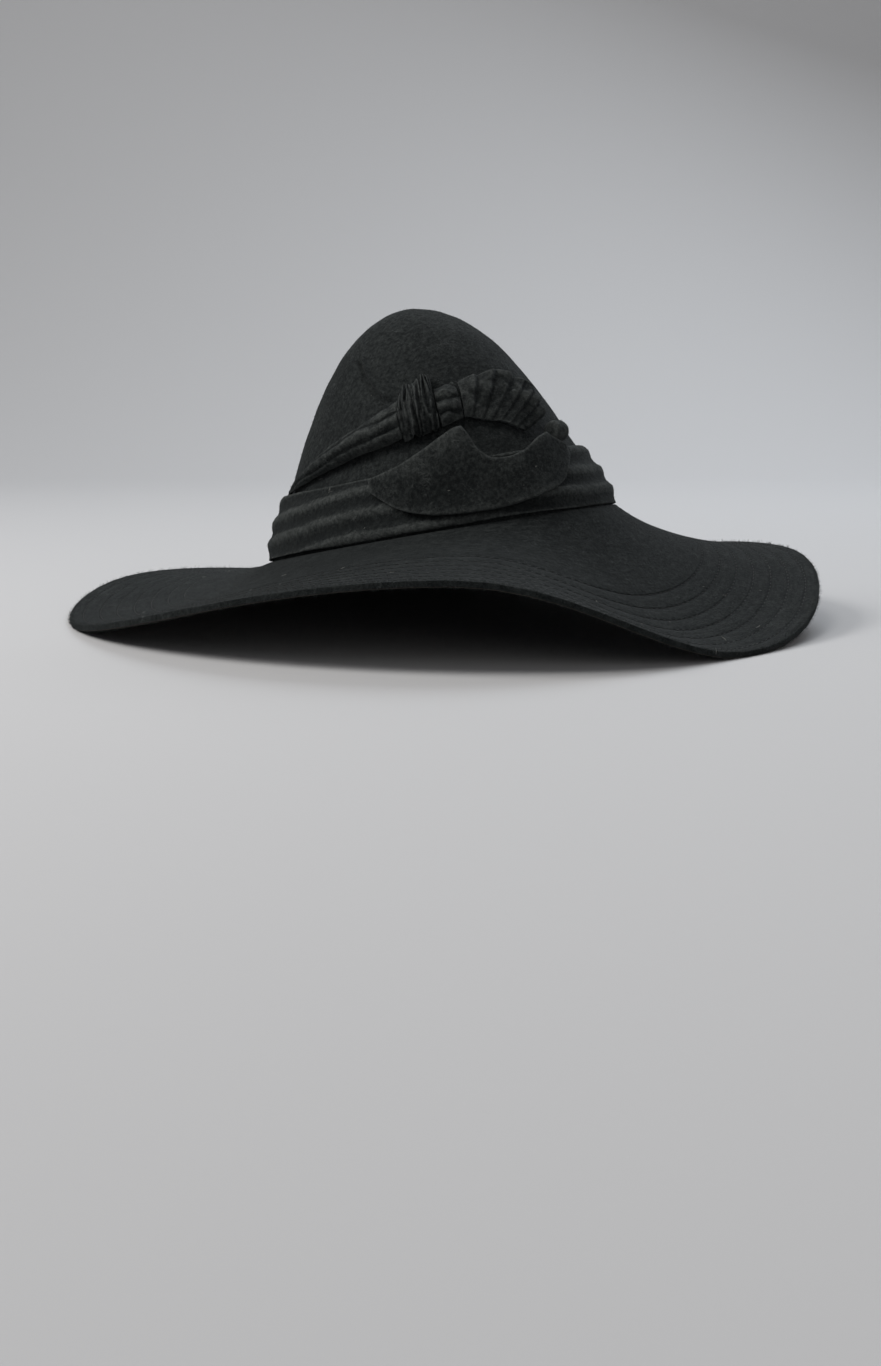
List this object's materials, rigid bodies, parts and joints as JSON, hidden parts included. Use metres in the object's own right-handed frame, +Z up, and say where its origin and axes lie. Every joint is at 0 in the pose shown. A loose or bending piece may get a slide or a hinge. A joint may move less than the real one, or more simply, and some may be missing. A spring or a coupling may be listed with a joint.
{
  "type": "tilt hat",
  "caption": "Wide-brimmed felt hat with a waved brim that dips over the front, a small rounded crown and a draped, gathered and pleated felt trim.",
  "frame": {"origin": "bottom centre of the hat's bounding box: the floor that the brim rests on", "axes": "+Z up, -Y towards the wearer's front, +X towards the wearer's left"},
  "size_m": [0.356, 0.376, 0.1497],
  "materials": {
    "crown_felt": "black brushed wool felt, matte",
    "brim_felt": "black wool felt with rows of stitching, matte",
    "trim_felt": "thin black wool felt, matte"
  },
  "bodies": {
    "root": {"crown": "crown_felt", "brim": "brim_felt", "crown_band": "trim_felt", "side_loop": "trim_felt", "gathered_puff": "trim_felt", "small_loop": "trim_felt", "pleated_fan": "trim_felt", "front_fold": "trim_felt", "rolled_end": "trim_felt"}
  },
  "joints": []
}
